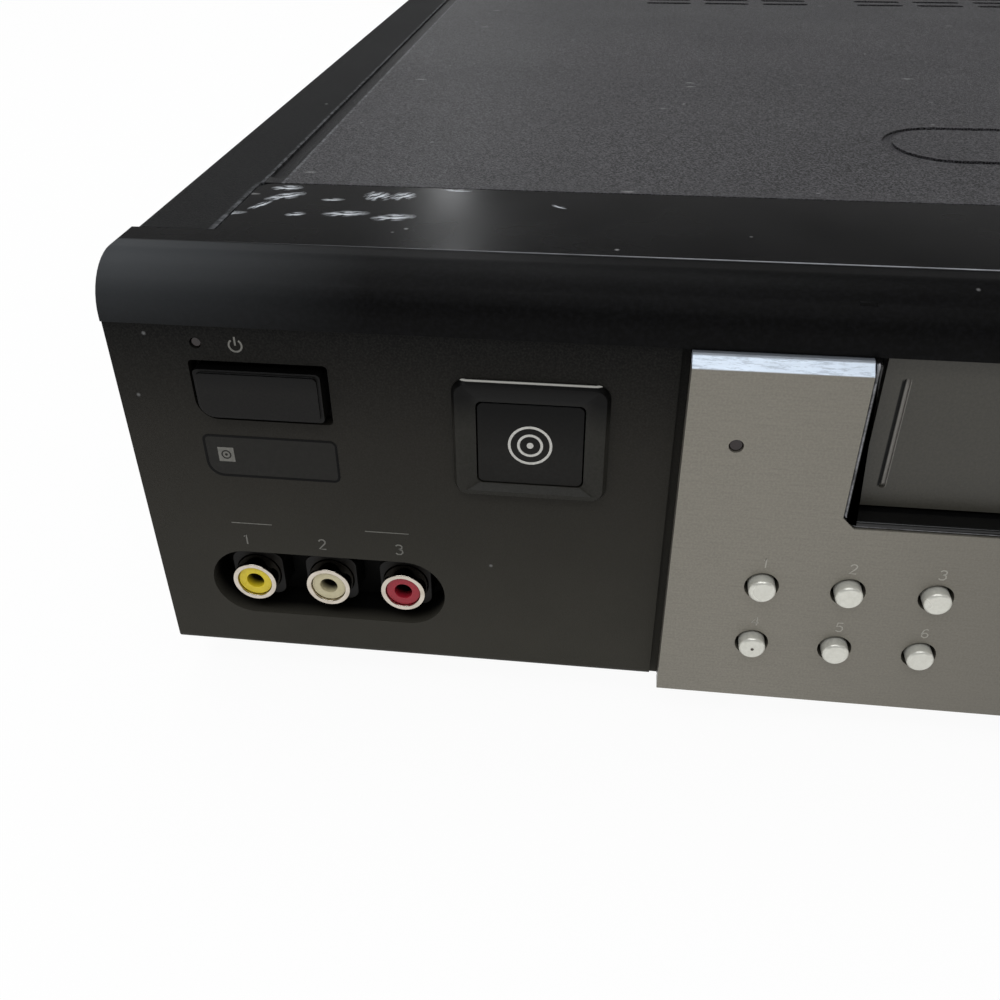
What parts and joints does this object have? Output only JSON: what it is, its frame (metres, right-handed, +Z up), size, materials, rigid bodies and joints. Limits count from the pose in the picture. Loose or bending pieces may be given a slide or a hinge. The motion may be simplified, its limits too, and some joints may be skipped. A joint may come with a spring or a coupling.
{
  "type": "video cassette recorder",
  "caption": "Low wide front-loading video cassette recorder with a hinged cassette door, push buttons, front signal jacks and a tape deck inside.",
  "frame": {"origin": "on the floor under the middle of the machine, halfway between the small buttons' faces and the aerial sockets' ends", "axes": "+X to the right along the front seen from the front, +Y from the front to the back, +Z up"},
  "size_m": [0.43, 0.3028, 0.085],
  "materials": {
    "cover_paint": "fine textured dark grey paint",
    "rear_paint": "satin black paint",
    "zinc_steel": "zinc plated",
    "black_screw": "blackened steel",
    "foot_rubber": "matt",
    "gloss_black": "glossy black",
    "panel_black": "satin black",
    "fascia_metal": "brushed warm grey",
    "door_plastic": "satin dark grey",
    "spring_steel": "bright wire",
    "key_black": "satin black",
    "key_silver": "satin silver",
    "window_smoke": "dark translucent",
    "pad_black": "satin black",
    "lamp_red": "unlit dark red",
    "display_glass": "dark glass",
    "board_green": "solder mask",
    "board_brown": "paper laminate",
    "part_black": "moulded black",
    "jack_metal": "nickel plated",
    "jack_yellow": "yellow",
    "jack_white": "ivory white",
    "jack_red": "red",
    "core_iron": "laminated iron",
    "tin_plate": "tin plated",
    "drum_aluminium": "polished aluminium",
    "motor_paint": "grey paint",
    "roller_rubber": "matt black",
    "reel_white": "natural white",
    "brass": "plain brass"
  },
  "bodies": {
    "case": {"bottom_chassis": "zinc_steel", "rear_panel": "rear_paint", "top_cover": "cover_paint", "case_screws": "black_screw", "feet": "foot_rubber", "front_bezel": "panel_black", "top_strip": "gloss_black", "fascia_panel": "fascia_metal", "door_surround": "gloss_black", "door_spring": "spring_steel", "sensor_window": "window_smoke", "pad_bezel": "pad_black", "reader_pad": "pad_black", "lamps": "lamp_red", "display_window": "display_glass", "front_board": "board_green", "board_components": "part_black", "jack_blocks": "part_black", "jack_shells": "jack_metal", "yellow_inserts": "jack_yellow", "white_inserts": "jack_white", "red_inserts": "jack_red", "main_board": "board_green", "power_board": "board_brown", "power_transformer": "core_iron", "tuner_can": "tin_plate", "cord_gland": "part_black", "deck_plate": "zinc_steel", "basket_rails": "zinc_steel", "drum_base": "drum_aluminium", "capstan_motor": "motor_paint", "tape_heads": "core_iron", "loading_motor": "motor_paint"},
    "power_button": {"power_button": "key_black"},
    "eject_button": {"eject_button": "key_black"},
    "menu_button_1": {"menu_button_1": "key_silver"},
    "menu_button_2": {"menu_button_2": "key_silver"},
    "menu_button_3": {"menu_button_3": "key_silver"},
    "menu_button_4": {"menu_button_4": "key_silver"},
    "menu_button_5": {"menu_button_5": "key_silver"},
    "menu_button_6": {"menu_button_6": "key_silver"},
    "rewind_button": {"rewind_button": "key_black"},
    "play_button": {"play_button": "key_black"},
    "forward_button": {"forward_button": "key_black"},
    "stop_button": {"stop_button": "key_black"},
    "pause_button": {"pause_button": "key_black"},
    "record_button": {"record_button": "key_black"},
    "channel_rocker": {"channel_rocker": "key_silver"},
    "cassette_door": {"cassette_door": "door_plastic"},
    "basket_slider": {"basket_slider": "zinc_steel"},
    "cassette_basket": {"cassette_basket": "zinc_steel"},
    "head_drum": {"head_drum": "drum_aluminium"},
    "capstan": {"capstan": "zinc_steel"},
    "pinch_arm": {"pinch_arm": "zinc_steel"},
    "pinch_roller": {"pinch_roller": "roller_rubber"},
    "supply_reel": {"supply_reel": "reel_white"},
    "take_up_reel": {"take_up_reel": "reel_white"},
    "supply_guide": {"supply_guide": "brass"},
    "take_up_guide": {"take_up_guide": "brass"},
    "cam_wheel": {"cam_wheel": "reel_white"}
  },
  "joints": [
    {"name": "power_button_press", "type": "slide", "parent": "case", "child": "power_button", "axis": [0, 1, 0], "range_m": [0, 0.001], "stiffness_N_per_m": 250},
    {"name": "eject_button_press", "type": "slide", "parent": "case", "child": "eject_button", "axis": [0, 1, 0], "range_m": [0, 0.001], "stiffness_N_per_m": 250},
    {"name": "menu_button_1_press", "type": "slide", "parent": "case", "child": "menu_button_1", "axis": [0, 1, 0], "range_m": [0, 0.001], "stiffness_N_per_m": 250},
    {"name": "menu_button_2_press", "type": "slide", "parent": "case", "child": "menu_button_2", "axis": [0, 1, 0], "range_m": [0, 0.001], "stiffness_N_per_m": 250},
    {"name": "menu_button_3_press", "type": "slide", "parent": "case", "child": "menu_button_3", "axis": [0, 1, 0], "range_m": [0, 0.001], "stiffness_N_per_m": 250},
    {"name": "menu_button_4_press", "type": "slide", "parent": "case", "child": "menu_button_4", "axis": [0, 1, 0], "range_m": [0, 0.001], "stiffness_N_per_m": 250},
    {"name": "menu_button_5_press", "type": "slide", "parent": "case", "child": "menu_button_5", "axis": [0, 1, 0], "range_m": [0, 0.001], "stiffness_N_per_m": 250},
    {"name": "menu_button_6_press", "type": "slide", "parent": "case", "child": "menu_button_6", "axis": [0, 1, 0], "range_m": [0, 0.001], "stiffness_N_per_m": 250},
    {"name": "rewind_button_press", "type": "slide", "parent": "case", "child": "rewind_button", "axis": [0, 1, 0], "range_m": [0, 0.001], "stiffness_N_per_m": 250},
    {"name": "play_button_press", "type": "slide", "parent": "case", "child": "play_button", "axis": [0, 1, 0], "range_m": [0, 0.001], "stiffness_N_per_m": 250},
    {"name": "forward_button_press", "type": "slide", "parent": "case", "child": "forward_button", "axis": [0, 1, 0], "range_m": [0, 0.001], "stiffness_N_per_m": 250},
    {"name": "stop_button_press", "type": "slide", "parent": "case", "child": "stop_button", "axis": [0, 1, 0], "range_m": [0, 0.001], "stiffness_N_per_m": 250},
    {"name": "pause_button_press", "type": "slide", "parent": "case", "child": "pause_button", "axis": [0, 1, 0], "range_m": [0, 0.001], "stiffness_N_per_m": 250},
    {"name": "record_button_press", "type": "slide", "parent": "case", "child": "record_button", "axis": [0, 1, 0], "range_m": [0, 0.001], "stiffness_N_per_m": 250},
    {"name": "channel_rocker_tilt", "type": "hinge", "parent": "case", "child": "channel_rocker", "pos_m": [0.092, -0.1421, 0.0273], "axis": [0, 0, 1], "range_deg": [-3, 3], "stiffness_Nm_per_rad": 0.08},
    {"name": "cassette_door_hinge", "type": "hinge", "parent": "case", "child": "cassette_door", "pos_m": [0, -0.1406, 0.079], "axis": [1, 0, 0], "range_deg": [0, 90], "stiffness_Nm_per_rad": 0.004},
    {"name": "basket_slide", "type": "slide", "parent": "case", "child": "basket_slider", "axis": [0, 1, 0], "range_m": [0, 0.064]},
    {"name": "basket_drop", "type": "slide", "parent": "basket_slider", "child": "cassette_basket", "axis": [0, 0, -1], "range_m": [0, 0.017]},
    {"name": "head_drum_spin", "type": "hinge", "parent": "case", "child": "head_drum", "pos_m": [0, 0.0534, 0.028], "axis": [0.0958, 0, 0.9954], "continuous": true},
    {"name": "capstan_spin", "type": "hinge", "parent": "case", "child": "capstan", "pos_m": [0.058, 0.0194, 0.028], "axis": [0, 0, 1], "continuous": true},
    {"name": "pinch_arm_swing", "type": "hinge", "parent": "case", "child": "pinch_arm", "pos_m": [0.093, 0.0314, 0.028], "axis": [0, 0, 1], "range_deg": [0, 24]},
    {"name": "pinch_roller_spin", "type": "hinge", "parent": "pinch_arm", "child": "pinch_roller", "pos_m": [0.06439, 0.04108, 0.028], "axis": [0, 0, 1], "continuous": true},
    {"name": "supply_reel_spin", "type": "hinge", "parent": "case", "child": "supply_reel", "pos_m": [-0.046, -0.0466, 0.028], "axis": [0, 0, 1], "continuous": true},
    {"name": "take_up_reel_spin", "type": "hinge", "parent": "case", "child": "take_up_reel", "pos_m": [0.046, -0.0466, 0.028], "axis": [0, 0, 1], "continuous": true},
    {"name": "supply_guide_slide", "type": "slide", "parent": "case", "child": "supply_guide", "axis": [-0.29, 0.957, 0], "range_m": [0, 0.064]},
    {"name": "take_up_guide_slide", "type": "slide", "parent": "case", "child": "take_up_guide", "axis": [0.29, 0.957, 0], "range_m": [0, 0.064]},
    {"name": "cam_wheel_turn", "type": "hinge", "parent": "case", "child": "cam_wheel", "pos_m": [0.086, 0.0754, 0.028], "axis": [0, 0, 1], "range_deg": [0, 300]}
  ],
  "couplings": [
    {"joint": "cam_wheel_turn", "follows": "basket_slide", "rad_per_m": 81.785},
    {"joint": "take_up_guide_slide", "follows": "supply_guide_slide", "ratio": 1}
  ]
}
